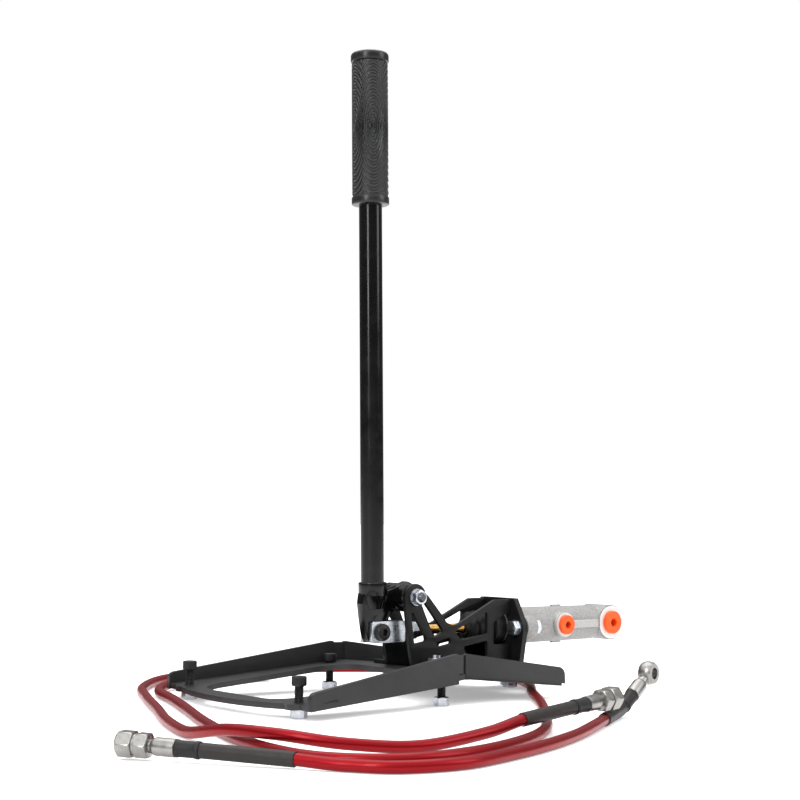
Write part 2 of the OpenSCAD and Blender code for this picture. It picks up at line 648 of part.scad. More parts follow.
// round bar of n sides swept along a list of points
module swept(path, r, n) {
    m = len(path);
    rings = [for (i = [0 : m - 1]) each ring(path[i], path[min(i + 1, m - 1)] - path[max(i - 1, 0)], r, n)];
    polyhedron(rings, concat(
        [[for (k = [0 : n - 1]) k]], [[for (k = [n - 1 : -1 : 0]) (m - 1) * n + k]],
        [for (i = [0 : m - 2], k = [0 : n - 1]) [i * n + k, (i + 1) * n + k, (i + 1) * n + (k + 1) % n]],
        [for (i = [0 : m - 2], k = [0 : n - 1]) [i * n + k, (i + 1) * n + (k + 1) % n, i * n + (k + 1) % n]]));
}

module return_spring() color([0.65, 0.66, 0.68]) at_origin() on_bore(spring_x + 0.9) {
    turns = 8;
    span = bore_end_x - spring_x - 1.9;
    swept([for (i = [0 : turns * 14]) [6.4 * cos(i * 360 / 14), 6.4 * sin(i * 360 / 14), span * i / (turns * 14)]],
        0.85, 6);
}

// bellows from the cylinder spigot to the pushrod, thin walled
module boot() color([0.05, 0.05, 0.05]) at_origin() {
    lip_x = spigot_x - 38;
    folds = 4;
    step = 30 / folds;
    outer = [for (i = [0 : folds - 1], k = [0, 1]) [(k == 0 ? 10.5 : 15.5) + i * 0.8, 4 + (i + k * 0.5) * step]];
    inner = [for (i = [len(outer) - 1 : -1 : 0]) [outer[i][0] - 1.6, outer[i][1]]];
    lip = rod_r + 0.35;
    on_bore(lip_x) rotate_extrude() polygon(concat([[lip, 0], [lip + 2.4, 0], [lip + 2.6, 3]], outer,
        [[spigot_r + 1.6, 35], [spigot_r + 1.6, 42], [spigot_r + seat, 42], [spigot_r + seat, 38 - seat],
        [spigot_r - 2.5, 38 - seat]], inner, [[lip + 1, 3], [lip, 2.6]]));
}

// frame of a hose end: local Z points out of its mouth
module on_end(e) translate(e[0]) rotate([0, 0, e[1]]) rotate([0, 90 - e[2], 0]) children();

// way that a hose end points
function way(e) = [cos(e[1]) * cos(e[2]), sin(e[1]) * cos(e[2]), sin(e[2])];

// place on the axis of a hose end, at a depth behind its mouth
function back(e, d) = e[0] - d * way(e);

// hose centre that lies no lower than the hose on the floor
function on_floor(p) = [p[0], p[1], max(p[2], hose_r)];

// smooth curve through the route points, with k steps between neighbours; the first and last only guide it
function spline(p, k) = let (m = len(p)) concat([for (i = [1 : m - 3], j = [0 : k - 1])
    let (t = j / k, a = p[i - 1], b = p[i], c = p[i + 1], d = p[i + 2])
    on_floor(0.5 * (2 * b + (c - a) * t + (2 * a - 5 * b + 4 * c - d) * t * t
        + (3 * b - a - 3 * c + d) * t * t * t))], [p[m - 2]]);

// route between two hose ends, straight for run0 and run1 behind their mouths
function hose_path(e0, run0, route, e1, run1, k) = concat([back(e0, hose_start)],
    spline(concat([back(e0, run0 - 40), back(e0, run0)], route, [back(e1, run1), back(e1, run1 - 40)]), k),
    [back(e1, hose_start)]);

path_a = hose_path(end_1, long_run, route_a, end_3, short_run, 2);
path_b = hose_path(end_2, long_run, route_b, end_4, long_run, 2);

module hose_short() color([0.72, 0.05, 0.06]) at_origin() swept(path_a, hose_r, 12);

module hose_long() color([0.72, 0.05, 0.06]) at_origin() swept(path_b, hose_r, 12);

// sleeves on the straight ends, and one that follows the bend behind the banjo
module hose_sleeves() color([0.04, 0.04, 0.045]) at_origin() {
    for (e = [end_1, end_2, end_4]) on_end(e)
        translate([0, 0, -long_run]) washer(sleeve_d, sleeve_l, hose_r + 0.15);
    m = len(path_a);
    bend = [for (i = [m - 5 : m - 3]) path_a[i]];
    swept(concat(bend, [back(end_3, short_run + 5), back(end_3, short_run + seat)]), sleeve_d / 2, 12);
}

module hose_collars() color([0.06, 0.06, 0.06]) at_origin() for (e = hose_ends) on_end(e)
    translate([0, 0, -short_run]) washer(ferrule_d - 0.4, collar_l, hose_r + 0.15);

// crimped ferrule with the neck that runs to the back of its swivel nut or banjo
module hose_ferrules() color([0.78, 0.79, 0.8]) at_origin() for (e = hose_ends) on_end(e)
    translate([0, 0, -hose_start]) {
        cylinder(d = ferrule_d, h = ferrule_l - 3);
        translate([0, 0, ferrule_l - 3]) cylinder(d1 = ferrule_d, d2 = 9, h = 3);
        translate([0, 0, ferrule_l - 0.1]) cylinder(d = 8, h = ferrule_a - swivel_l - seat + 0.1);
    }

// swivel nut in two lengths of hexagon with a turned groove between them
module swivel_nuts() color([0.8, 0.81, 0.82]) at_origin() for (e = [end_1, end_2, end_4]) on_end(e) difference() {
    union() {
        translate([0, 0, 2 - swivel_l * 0.6]) cylinder(d = swivel_af / cos(30), h = swivel_l * 0.6 - 2, $fn = 6);
        translate([0, 0, 1 - swivel_l]) cylinder(d = swivel_af - 1.5, h = swivel_l - 2);
        translate([0, 0, -swivel_l]) cylinder(d = (swivel_af - 1) / cos(30), h = swivel_l * 0.4, $fn = 6);
    }
    translate([0, 0, -12]) cylinder(r = 6.6, h = 20);
}

module banjo() color([0.8, 0.81, 0.82]) at_origin() on_end(end_3) translate([0, 0, -banjo_d / 2]) difference() {
    union() {
        intersection() {
            sphere(d = banjo_d + 1);
            cube([2 * banjo_d, eye_h, 2 * banjo_d], center = true);
        }
        translate([0, 0, banjo_d / 2 - swivel_l]) cylinder(d = 8, h = 6);
    }
    rotate([90, 0, 0]) translate([0, 0, -eye_h]) cylinder(d = eye_d, h = 2 * eye_h);
}

base_frame();
frame_bolts();
frame_nuts();
bracket_near();
bracket_far();
end_plate();
bracket_bolts();
bracket_nuts();
pivot_bolt();
pivot_washers();
pivot_nut();
pivot_sleeve();
pivot_bushes();
lever_arm();
lever_tube();
grip();
clevis();
clevis_screw();
clevis_nut();
jam_nut();
pushrod();
cylinder_body();
cylinder_bolts();
cylinder_washers();
cylinder_nuts();
inlet_plug();
outlet_plug();
piston();
primary_cup();
secondary_cup();
stop_washer();
circlip();
return_spring();
boot();
hose_short();
hose_long();
hose_sleeves();
hose_collars();
hose_ferrules();
swivel_nuts();
banjo();
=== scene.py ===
import json
import math

import bmesh
import bpy
from mathutils import Matrix, Vector


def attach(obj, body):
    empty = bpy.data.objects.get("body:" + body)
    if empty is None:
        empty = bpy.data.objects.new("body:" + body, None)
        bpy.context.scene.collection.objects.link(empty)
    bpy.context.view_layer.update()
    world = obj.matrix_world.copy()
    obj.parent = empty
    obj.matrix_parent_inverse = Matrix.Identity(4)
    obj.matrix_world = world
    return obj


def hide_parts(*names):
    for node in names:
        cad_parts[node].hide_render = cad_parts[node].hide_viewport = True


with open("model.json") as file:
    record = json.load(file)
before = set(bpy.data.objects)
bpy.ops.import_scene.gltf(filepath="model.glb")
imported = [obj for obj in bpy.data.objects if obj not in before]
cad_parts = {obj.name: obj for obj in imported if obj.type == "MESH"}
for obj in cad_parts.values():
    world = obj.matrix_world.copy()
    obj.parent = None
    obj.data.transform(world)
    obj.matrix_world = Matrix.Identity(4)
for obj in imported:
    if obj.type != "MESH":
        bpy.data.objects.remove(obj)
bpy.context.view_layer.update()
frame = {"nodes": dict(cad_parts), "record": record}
NODES = frame["nodes"]
scene = bpy.context.scene

# Sizes of the dressed pieces, in millimetres from part.scad's datum
MM = 0.001
TAU = 2 * math.pi
ORIGIN_X = 139.75
SEAT = 0.02
BOLT_R = 4.0
BOLT_FLATS = 13.0
HEAD_H = 5.3
NUT_H = 6.5
FRAME_NUT_H = 8.0
WASHER_T = 1.6
NUT_BORE = BOLT_R + 0.05
HOLE_R = 4.5
SHEET_T = 5.0
PLATE_T = 4.0
PIVOT = Vector((101.5, 0.0, 94.0))
AXIS_Z = 61.5
PIN_X = 70.0
CLEVIS_L = 38.0
CLEVIS_HW = 9.0
SIDE_IN = 17.0
SIDE_OUT = SIDE_IN + PLATE_T
END_X = 222.0
END_T = 6.0
EAR_T = 13.0
FLANGE_Y = 28.5
FLANGE_END_X = 90.0
WAIST_HW = 98.0
FOOT_X = (16.0, 108.0)
FOOT_Y = 34.0
FOLD_X = 98.0
BOLT_X = 79.0
FRONT_SLOPE = math.radians(4.7)
REAR_SLOPE = math.radians(5.8)
NUT_CORNER = BOLT_FLATS / 2 / math.cos(math.radians(30))
FOLD_Z = FRAME_NUT_H + SEAT + (FOLD_X + BOLT_X + NUT_CORNER) * math.tan(FRONT_SLOPE)
HEAD_Z = (FOLD_Z - (FOLD_X - BOLT_X - BOLT_FLATS / 2) * math.tan(FRONT_SLOPE)
          + SHEET_T / math.cos(FRONT_SLOPE) + SEAT)
TAIL_X = FOLD_X + (FOLD_Z - FRAME_NUT_H - SEAT) / math.tan(REAR_SLOPE) - NUT_CORNER
FRONT_Y = 88.5
REAR_Y = 86.0
FRAME_SPOTS = [(-BOLT_X, -FRONT_Y), (-BOLT_X, FRONT_Y), (BOLT_X, -REAR_Y), (BOLT_X, REAR_Y), (TAIL_X, 0)]
SOCKET_X = 65.6
SOCKET_Z = 95.0
LEVER_LEAN = 1.0
TUBE_R = 11.0
TUBE_FROM = 3.0
TUBE_L = 509.0
GRIP_L = 147.0
GRIP_CAP = 6.0
GRIP_BASE = TUBE_FROM + TUBE_L + GRIP_CAP - GRIP_L
THREAD_PAST = 3.0
THREAD_END = 0.8
FRAME_HEAD_D = 13.0
FRAME_HEAD_H = 8.0
FRAME_BOLT_L = 25.0
CYLINDER_NUT_H = 9.4
CLEVIS_HEAD_D = 16.4
CLEVIS_HEAD_H = 5.6
CLEVIS_NUT_ROOM = 6.0
JAM_FLATS = 16.0
JAM_H = 8.0
ROD_R = 5.0
ROD_X = PIN_X + 14.5


def datum(x, y, z):
    """A point of part.scad's datum, as a place in the part's frame in metres."""
    return Vector(((x - ORIGIN_X) * MM, y * MM, z * MM))


# Camera
def make_camera():
    """The photo's camera, as fitted to the frame nuts, the lever and the cylinder."""
    place = Vector((-1.0240, -1.2431, 0.1708))
    heading, pitch, roll = math.radians(38.28), math.radians(4.0), math.radians(0.43)
    ahead = math.cos(pitch)
    forward = Vector((math.sin(heading) * ahead, math.cos(heading) * ahead, math.sin(pitch)))
    level = Vector((math.cos(heading), -math.sin(heading), 0.0))
    rise = level.cross(forward)
    right = level * math.cos(roll) + rise * math.sin(roll)
    up = -level * math.sin(roll) + rise * math.cos(roll)
    data = bpy.data.cameras.new("camera")
    data.sensor_width = 36.0
    data.lens = 74.36
    data.clip_start, data.clip_end = 0.05, 100.0
    cam = bpy.data.objects.new("camera", data)
    scene.collection.objects.link(cam)
    turn = Matrix((right, up, -forward)).transposed().to_4x4()
    cam.matrix_world = Matrix.Translation(place) @ turn
    scene.camera = cam


make_camera()


# Materials
def nodes_of(name):
    """New material, with its node tree and its shader."""
    mat = bpy.data.materials.new(name)
    mat.use_nodes = True
    tree = mat.node_tree
    return mat, tree, tree.nodes["Principled BSDF"]


def noise(tree, coord, scale, detail=4.0, rough=0.55):
    """Noise with the scale in cells per metre."""
    node = tree.nodes.new("ShaderNodeTexNoise")
    node.inputs["Scale"].default_value = scale
    node.inputs["Detail"].default_value = detail
    node.inputs["Roughness"].default_value = rough
    tree.links.new(coord, node.inputs["Vector"])
    return node.outputs["Fac"]


def ramp(tree, fac, stops):
    """Colours by a factor: stops is a list of (position, colour)."""
    node = tree.nodes.new("ShaderNodeValToRGB")
    elements = node.color_ramp.elements
    while len(elements) < len(stops):
        elements.new(0.5)
    for element, (position, colour) in zip(elements, stops):
        element.position = position
        element.color = (*colour, 1.0)
    tree.links.new(fac, node.inputs["Fac"])
    return node.outputs["Color"]


def to_range(tree, fac, low, high, start=0.3, stop=0.7):
    """A factor from start to stop, as a value from low to high."""
    node = tree.nodes.new("ShaderNodeMapRange")
    for label, value in (("From Min", start), ("From Max", stop), ("To Min", low), ("To Max", high)):
        node.inputs[label].default_value = value
    tree.links.new(fac, node.inputs["Value"])
    return node.outputs["Result"]


def combine(tree, operation, a, b):
    """Sum, product or like of a and b: b is a number or another node's output."""
    node = tree.nodes.new("ShaderNodeMath")
    node.operation = operation
    tree.links.new(a, node.inputs[0])
    if isinstance(b, float):
        node.inputs[1].default_value = b
    else:
        tree.links.new(b, node.inputs[1])
    return node.outputs[0]


def bump(tree, shader, height, strength, distance):
    """Relief on a shader's surface."""
    node = tree.nodes.new("ShaderNodeBump")
    node.inputs["Strength"].default_value = strength
    node.inputs["Distance"].default_value = distance
    tree.links.new(height, node.inputs["Height"])
    tree.links.new(node.outputs["Normal"], shader.inputs["Normal"])


def scaled(colour, factor):
    """A colour made lighter or darker."""
    return tuple(min(1.0, channel * factor) for channel in colour)


def surface(name, colour, rough, metal=0.0, vary=0.12, spot=60.0, grain=1500.0, depth=0.00004, strength=0.3,
            spec=0.5, rough_vary=0.06):
    """Plain coating or metal: mottled colour, uneven gloss and a fine grain."""
    mat, tree, bsdf = nodes_of(name)
    coord = tree.nodes.new("ShaderNodeTexCoord").outputs["Object"]
    shades = [(0.3, scaled(colour, 1 - vary)), (0.7, scaled(colour, 1 + vary))]
    tree.links.new(ramp(tree, noise(tree, coord, spot), shades), bsdf.inputs["Base Color"])
    gloss = to_range(tree, noise(tree, coord, spot * 2.3), rough - rough_vary, rough + rough_vary)
    tree.links.new(gloss, bsdf.inputs["Roughness"])
    bump(tree, bsdf, noise(tree, coord, grain, 2.0), strength, depth)
    bsdf.inputs["Metallic"].default_value = metal
    bsdf.inputs["Specular IOR Level"].default_value = spec
    return mat


def cast_material():
    """Bead-blasted casting whose boss faces are machined bright and whose rib face carries a painted
    highlight.
    """
    mat, tree, bsdf = nodes_of("cast_aluminium")
    coord = tree.nodes.new("ShaderNodeTexCoord").outputs["Object"]
    split = tree.nodes.new("ShaderNodeSeparateXYZ")
    tree.links.new(coord, split.inputs[0])
    bosses_from, outlet_from = 0.14, 0.2085
    inlet_face, outlet_face, rib_highlight_face = -0.0215, -0.0186, -0.0196

    def proud(start, face):
        behind_start = combine(tree, "GREATER_THAN", split.outputs["X"], start)
        return combine(tree, "MULTIPLY", behind_start, combine(tree, "LESS_THAN", split.outputs["Y"], face))

    bosses = combine(tree, "MAXIMUM", proud(bosses_from, inlet_face), proud(outlet_from, outlet_face))
    # Painted highlight: everything past the rib's face plane, beyond bosses_from, is mixed up to 0.32 of the
    # way to the bright machined colour, so the rib reads lighter than the body; the next factor joins the
    # machined boss faces with this painted highlight.
    rib_painted_highlight = to_range(tree, proud(bosses_from, rib_highlight_face), 0.0, 0.32, 0.0, 1.0)
    machined_and_rib_highlight = combine(tree, "MAXIMUM", bosses, rib_painted_highlight)
    speckle = noise(tree, coord, 620.0, 6.0, 0.75)
    cast = ramp(tree, speckle, [(0.34, (0.18, 0.177, 0.172)), (0.5, (0.27, 0.266, 0.26)),
                                (0.66, (0.36, 0.355, 0.347))])
    mix = tree.nodes.new("ShaderNodeMix")
    mix.data_type = "RGBA"
    tree.links.new(machined_and_rib_highlight, mix.inputs["Factor"])
    tree.links.new(cast, mix.inputs["A"])
    mix.inputs["B"].default_value = (0.62, 0.62, 0.61, 1.0)
    tree.links.new(mix.outputs["Result"], bsdf.inputs["Base Color"])
    tree.links.new(to_range(tree, machined_and_rib_highlight, 0.58, 0.42, 0.0, 1.0), bsdf.inputs["Roughness"])
    bump(tree, bsdf, speckle, 0.55, 0.00025)
    bsdf.inputs["Metallic"].default_value = 0.3
    return mat


def hose_material():
    """Clear red cover over a steel braid: two crossing sets of fine strands under a glossy coat."""
    mat, tree, bsdf = nodes_of("hose_red")
    uv = tree.nodes.new("ShaderNodeUVMap")
    uv.uv_map = "braid"
    split = tree.nodes.new("ShaderNodeSeparateXYZ")
    tree.links.new(uv.outputs["UV"], split.inputs[0])

    def strands(turns):
        along = combine(tree, "MULTIPLY", split.outputs["Y"], 480.0)
        wound = combine(tree, "ADD", combine(tree, "MULTIPLY", split.outputs["X"], turns), along)
        return combine(tree, "PINGPONG", wound, 0.5)

    cross = combine(tree, "MULTIPLY", strands(14.0), strands(-14.0))
    red = ramp(tree, cross, [(0.0, (0.1, 0.001, 0.003)), (0.08, (0.24, 0.002, 0.006)),
                             (0.22, (0.48, 0.007, 0.013))])
    tree.links.new(red, bsdf.inputs["Base Color"])
    tree.links.new(to_range(tree, cross, 0.42, 0.24, 0.0, 0.25), bsdf.inputs["Roughness"])
    bump(tree, bsdf, cross, 0.6, 0.0004)
    bsdf.inputs["Metallic"].default_value = 0.6
    bsdf.inputs["Specular IOR Level"].default_value = 0.12
    bsdf.inputs["Coat Weight"].default_value = 0.1
    bsdf.inputs["Coat Roughness"].default_value = 0.12
    return mat


MATS = {
    "powder_black": surface("powder_black", (0.014, 0.014, 0.015), 0.44, vary=0.18, spot=35.0, grain=2600.0,
                            depth=0.00012, strength=0.35, spec=0.4),
    "plate_grey": surface("plate_grey", (0.006, 0.006, 0.0064), 0.46, vary=0.18, spot=45.0, grain=2600.0,
                          depth=0.00012, strength=0.3, spec=0.22),
    "black_screw": surface("black_screw", (0.012, 0.012, 0.0125), 0.4, metal=0.3, vary=0.25, spot=200.0,
                           spec=0.35),
    "zinc": surface("zinc", (0.5, 0.53, 0.57), 0.31, metal=1.0, vary=0.14, spot=220.0, rough_vary=0.07),
    "steel": surface("steel", (0.1, 0.105, 0.115), 0.36, metal=1.0),
    "bronze": surface("bronze", (0.55, 0.36, 0.16), 0.35, metal=1.0),
    "lever_black": surface("lever_black", (0.002, 0.002, 0.0022), 0.17, vary=0.2, spot=30.0, grain=1800.0,
                           depth=0.00002, strength=0.04, spec=0.28),
    "grip_rubber": surface("grip_rubber", (0.005, 0.0051, 0.0056), 0.33, vary=0.2, spot=120.0, grain=2400.0,
                           depth=0.00004, strength=0.15, spec=0.42),
    "yellow_zinc": surface("yellow_zinc", (0.42, 0.24, 0.07), 0.3, metal=1.0, vary=0.2, spot=180.0),
    "cast_aluminium": cast_material(),
    "plug_orange": surface("plug_orange", (0.8, 0.085, 0.008), 0.42, vary=0.06, spot=120.0, grain=900.0,
                           depth=0.00002, spec=0.3),
    "seal_rubber": surface("seal_rubber", (0.008, 0.008, 0.008), 0.5, vary=0.2, spec=0.25),
    "hose_red": hose_material(),
    "sleeve_black": surface("sleeve_black", (0.0125, 0.0095, 0.009), 0.5, vary=0.12, spot=80.0, grain=2200.0,
                            depth=0.00004, spec=0.3),
    "fitting": surface("fitting", (0.27, 0.262, 0.25), 0.34, metal=1.0, vary=0.1, spot=160.0,
                       rough_vary=0.08),
}
SLOT_OF = {s["node"]: s["material_slot"] for s in frame["record"]["subparts"]}
for node_name, node in NODES.items():
    node.data.materials.clear()
    node.data.materials.append(MATS[SLOT_OF[node_name]])


# Mesh helpers
def finish_mesh(name, bm, slot, body, *replaced, merge=0.000001):
    """Makes a piece of a bmesh, in its slot's finish, on its body and in place of its nodes."""
    bmesh.ops.remove_doubles(bm, verts=bm.verts, dist=merge)
    bmesh.ops.recalc_face_normals(bm, faces=bm.faces)
    mesh = bpy.data.meshes.new(name)
    bm.to_mesh(mesh)
    bm.free()
    for polygon in mesh.polygons:
        polygon.use_smooth = True
    mesh.set_sharp_from_angle(angle=math.radians(32))
    obj = bpy.data.objects.new(name, mesh)
    scene.collection.objects.link(obj)
    mesh.materials.append(MATS[slot])
    if replaced:
        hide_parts(*replaced)
    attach(obj, body)
    return obj


def loft(bm, rings):
    """Skins a list of rings of equal count. A ring of one point closes an end."""
    made = [[bm.verts.new(p) for p in ring] for ring in rings]
    for a, b in zip(made, made[1:]):
        n = max(len(a), len(b))
        for i in range(n):
            j = (i + 1) % n
            quad = [a[i % len(a)], a[j % len(a)], b[j % len(b)], b[i % len(b)]]
            face = []
            for v in quad:
                if v not in face:
                    face.append(v)
            if len(face) > 2:
                bm.faces.new(face)


def loft_round(bm, rings):
    """Skins a list of rings that closes on itself, such as a wall with a bore."""
    loft(bm, rings + [rings[0]])


def spun(place, profile, sides=72):
    """Rings for loft: profile is a list of (radius or function of the angle, z), in mm in place's frame."""
    rings = []
    for radius, z in profile:
        if not callable(radius) and radius <= 0:
            rings.append([place @ Vector((0, 0, z * MM))])
            continue
        ring = []
        for i in range(sides):
            a = TAU * i / sides
            r = radius(a) if callable(radius) else radius
            ring.append(place @ Vector((r * math.cos(a) * MM, r * math.sin(a) * MM, z * MM)))
        rings.append(ring)
    return rings


def hexagon(flats, limit=1e9, turn=0.0):
    """Radius of a hexagon at an angle, cut off by a round limit."""
    half = flats / 2

    def radius(a):
        b = (a - turn) % (TAU / 6) - TAU / 12
        return min(half / math.cos(b), limit)
    return radius


def knurled(r, ridges, depth):
    """Radius of a knurled side at an angle."""
    def radius(a):
        return r - depth * (0.5 - 0.5 * math.cos(ridges * a))
    return radius


def thread(r, pitch, depth, z):
    """Radius of a screw thread at height z."""
    def radius(a):
        t = (z / pitch - a / TAU) % 1.0
        return r - depth * abs(2 * t - 1)
    return radius


def threads(r, z0, z1, pitch=1.25, depth=0.6, steps=5):
    """Profile of a screw thread from one height to another. A negative depth cuts into a bore."""
    n = max(2, int(abs(z1 - z0) / pitch * steps))
    heights = [z0 + (z1 - z0) * i / n for i in range(n + 1)]
    return [(thread(r, pitch, depth, z), z) for z in heights]


def shank(r, length, plain):
    """Profile of a bolt's shank, plain at first and then threaded to a bevelled tip."""
    rows = threads(r, -plain, -(length - THREAD_END))
    return rows + [(r - THREAD_END, -length), (0, -length)]


def socket(key, floor, top):
    """Profile of a hexagon socket, from the middle of its floor to its bevelled rim."""
    return [(0, floor), (hexagon(key), floor), (hexagon(key), top - 0.3), (hexagon(key + 0.5), top)]


def hex_side(flats, z0, z1, both_ends=True):
    """Profile of a hexagon whose corners are turned off at both ends, or only where it starts."""
    turn = math.radians(30)
    corner, inner = flats / 2 / math.cos(turn), flats / 2 * 0.97
    rise = math.copysign((corner - inner) * math.tan(turn), z1 - z0)
    steps = [k / 4 for k in range(5)]
    rows = [(hexagon(flats, inner + (corner - inner) * t, turn), z0 + rise * t) for t in steps]
    if both_ends:
        return rows + [(radius, z0 + z1 - z) for radius, z in reversed(rows)]
    return rows + [(hexagon(flats, corner, turn), z1)]


def nut(bm, place, flats, h, bore=NUT_BORE):
    """Nut with turned corners and a bore that is open right through."""
    bevel = 0.6
    inner = [(bore + bevel, h), (bore, h - bevel), (bore, bevel), (bore + bevel, 0)]
    loft_round(bm, spun(place, hex_side(flats, 0, h) + inner))


def socket_screw(bm, place, head_d, head_h, r, length):
    """Socket head screw with a knurled head, its shank down from the origin."""
    rim = head_d / 2
    side = knurled(rim, 36, 0.3)
    profile = socket(r * 1.5, head_h * 0.5, head_h) + [(rim - 0.8, head_h), (rim - 0.25, head_h - 0.35)]
    profile += [(side, head_h - 1.0), (side, 1.2), (rim - 0.3, 0.5), (rim - 0.6, 0), (r, 0)]
    loft(bm, spun(place, profile + shank(r, length, THREAD_END), 144))


def button_screw(bm, place, head_d, head_h, r, length, plain):
    """Low domed screw with a hexagon socket, its shank down from the origin."""
    rim, flat, skirt = head_d / 2, head_d * 0.3, 1.2
    profile = socket(r * 1.5, head_h * 0.4, head_h)
    for degrees in range(0, 91, 15):
        t = math.radians(degrees)
        profile.append((flat + (rim - flat) * math.sin(t), skirt + (head_h - skirt) * math.cos(t)))
    profile += [(rim, 0.3), (rim - 0.3, 0), (r, 0), (r, -plain)]
    loft(bm, spun(place, profile + shank(r, length, plain), 96))


def hex_bolt(bm, place, flats, head_h, r, length, plain):
    """Hexagon bolt, its shank down from the origin and plain at first."""
    profile = [(0, head_h)] + hex_side(flats, head_h, 0, both_ends=False) + [(r, 0), (r, -plain)]
    loft(bm, spun(place, profile + shank(r, length, plain)))


def at(x, y, z, turn=(0.0, 0.0, 0.0)):
    """Frame at a datum place, turned by degrees about X, then Y, then Z, as in part.scad."""
    rx, ry, rz = (math.radians(v) for v in turn)
    spin = Matrix.Rotation(rz, 4, "Z") @ Matrix.Rotation(ry, 4, "Y") @ Matrix.Rotation(rx, 4, "X")
    return Matrix.Translation(datum(x, y, z)) @ spin


def rounded(points, r, steps=4):
    """Closed outline with each corner rounded, as far as its sides allow."""
    out = []
    n = len(points)
    for i in range(n):
        a, b, c = (Vector(points[(i + k) % n]) for k in (-1, 0, 1))
        u, v = (a - b), (c - b)
        half = u.angle(v) / 2
        if half > 1.5:
            out.append(tuple(b))
            continue
        cut = min(r / math.tan(half), 0.45 * min(u.length, v.length))
        u, v = u.normalized(), v.normalized()
        bend = cut * math.tan(half)
        middle = b + (u + v).normalized() * (bend / math.sin(half))
        first, last = b + u * cut - middle, b + v * cut - middle
        start = math.atan2(first.y, first.x)
        turn = (math.atan2(last.y, last.x) - start + math.pi) % TAU - math.pi
        for k in range(steps + 1):
            w = start + turn * k / steps
            out.append((middle.x + bend * math.cos(w), middle.y + bend * math.sin(w)))
    return out


def arc(x, y, r, start, stop, steps=24):
    """Points on an arc, by its centre, radius and angles in degrees."""
    turns = [math.radians(start + (stop - start) * k / steps) for k in range(steps + 1)]
    return [(x + r * math.cos(t), y + r * math.sin(t)) for t in turns]


def hole(x, y, r):
    """Round opening, for cut_plate."""
    return arc(x, y, r, 0, 345, 23)


def rear_frame():
    """Frame on the underside of the sloping rear sheet, at the fold."""
    return at(FOLD_X, 0, FOLD_Z, (0, math.degrees(REAR_SLOPE), 0))


def cut_plate(bm, place, outline, holes, thick, ease=0.5):
    """Flat plate with openings and eased edges: drawn in place's XY plane in mm, thick along its Z."""
    curve = bpy.data.curves.new("plate", "CURVE")
    curve.dimensions = "2D"
    curve.fill_mode = "BOTH"
    curve.extrude = (thick / 2 - ease) * MM
    curve.bevel_depth = ease * MM
    curve.bevel_resolution = 1
    curve.offset = -ease * MM
    for ring in [outline] + holes:
        spline = curve.splines.new("POLY")
        spline.points.add(len(ring) - 1)
        for point, (x, y) in zip(spline.points, ring):
            point.co = (x * MM, y * MM, 0.0, 1.0)
        spline.use_cyclic_u = True
    obj = bpy.data.objects.new("plate", curve)
    mesh = bpy.data.meshes.new_from_object(obj)
    mesh.transform(place @ Matrix.Translation((0, 0, thick / 2 * MM)))
    bm.from_mesh(mesh)
    bpy.data.objects.remove(obj)
    bpy.data.curves.remove(curve)
    bpy.data.meshes.remove(mesh)


# Hoses
HOSE_D = 0.0092
# Mouth of each end in metres from part.scad's datum, then turn and rise of its axis in degrees
END_1 = ((-0.3136, -0.206, 0.011), 124.0, 2.0)
END_2 = ((0.113, -0.270, 0.0223), 12.0, 3.0)
END_3 = ((0.2065, -0.2255, 0.039), 15.0, 29.0)
END_4 = ((0.080, 0.190, 0.011), 10.0, 2.0)
ROUTE_A = [(-0.221, -0.345, 0.0046), (-0.196, -0.374, 0.0046), (-0.150, -0.385, 0.0046),
           (-0.095, -0.372, 0.0046), (-0.040, -0.352, 0.0046), (0.015, -0.325, 0.0046),
           (0.070, -0.292, 0.0056), (0.115, -0.262, 0.0057)]
ROUTE_B = [(-0.060, -0.305, 0.0095), (-0.125, -0.306, 0.005), (-0.178, -0.289, 0.009),
           (-0.211, -0.252, 0.0142), (-0.224, -0.205, 0.0135), (-0.221, -0.145, 0.005),
           (-0.198, -0.075, 0.0046), (-0.162, 0.004, 0.0046), (-0.126, 0.085, 0.0046),
           (-0.086, 0.162, 0.0046), (-0.020, 0.228, 0.0046), (0.075, 0.258, 0.0046),
           (0.160, 0.244, 0.0046), (0.235, 0.195, 0.0046), (0.277, 0.120, 0.0046),
           (0.278, 0.045, 0.0046), (0.243, -0.024, 0.0046), (0.196, -0.080, 0.0046),
           (0.140, -0.152, 0.0046), (0.078, -0.224, 0.0046), (0.014, -0.290, 0.0046),
           (-0.050, -0.330, 0.0046), (-0.120, -0.352, 0.0046), (-0.178, -0.347, 0.0046),
           (-0.215, -0.308, 0.0046), (-0.219, -0.250, 0.0046), (-0.203, -0.175, 0.0046),
           (-0.176, -0.095, 0.0046), (-0.143, -0.014, 0.0046), (-0.114, 0.060, 0.0046),
           (-0.090, 0.125, 0.005)]
HOSE_START = 0.044
LEAD = 0.04
STEPS = 8
SHORT_RUN = 0.0625
LONG_RUN = 0.1325


def end_way(end):
    """Way that the mouth of a hose end points."""
    turn, rise = math.radians(end[1]), math.radians(end[2])
    return Vector((math.cos(turn) * math.cos(rise), math.sin(turn) * math.cos(rise), math.sin(rise)))


def behind(end, depth):
    """Place on the axis of a hose end, at a depth behind its mouth, in the part's frame."""
    return Vector(end[0]) - end_way(end) * depth - Vector((ORIGIN_X * MM, 0, 0))


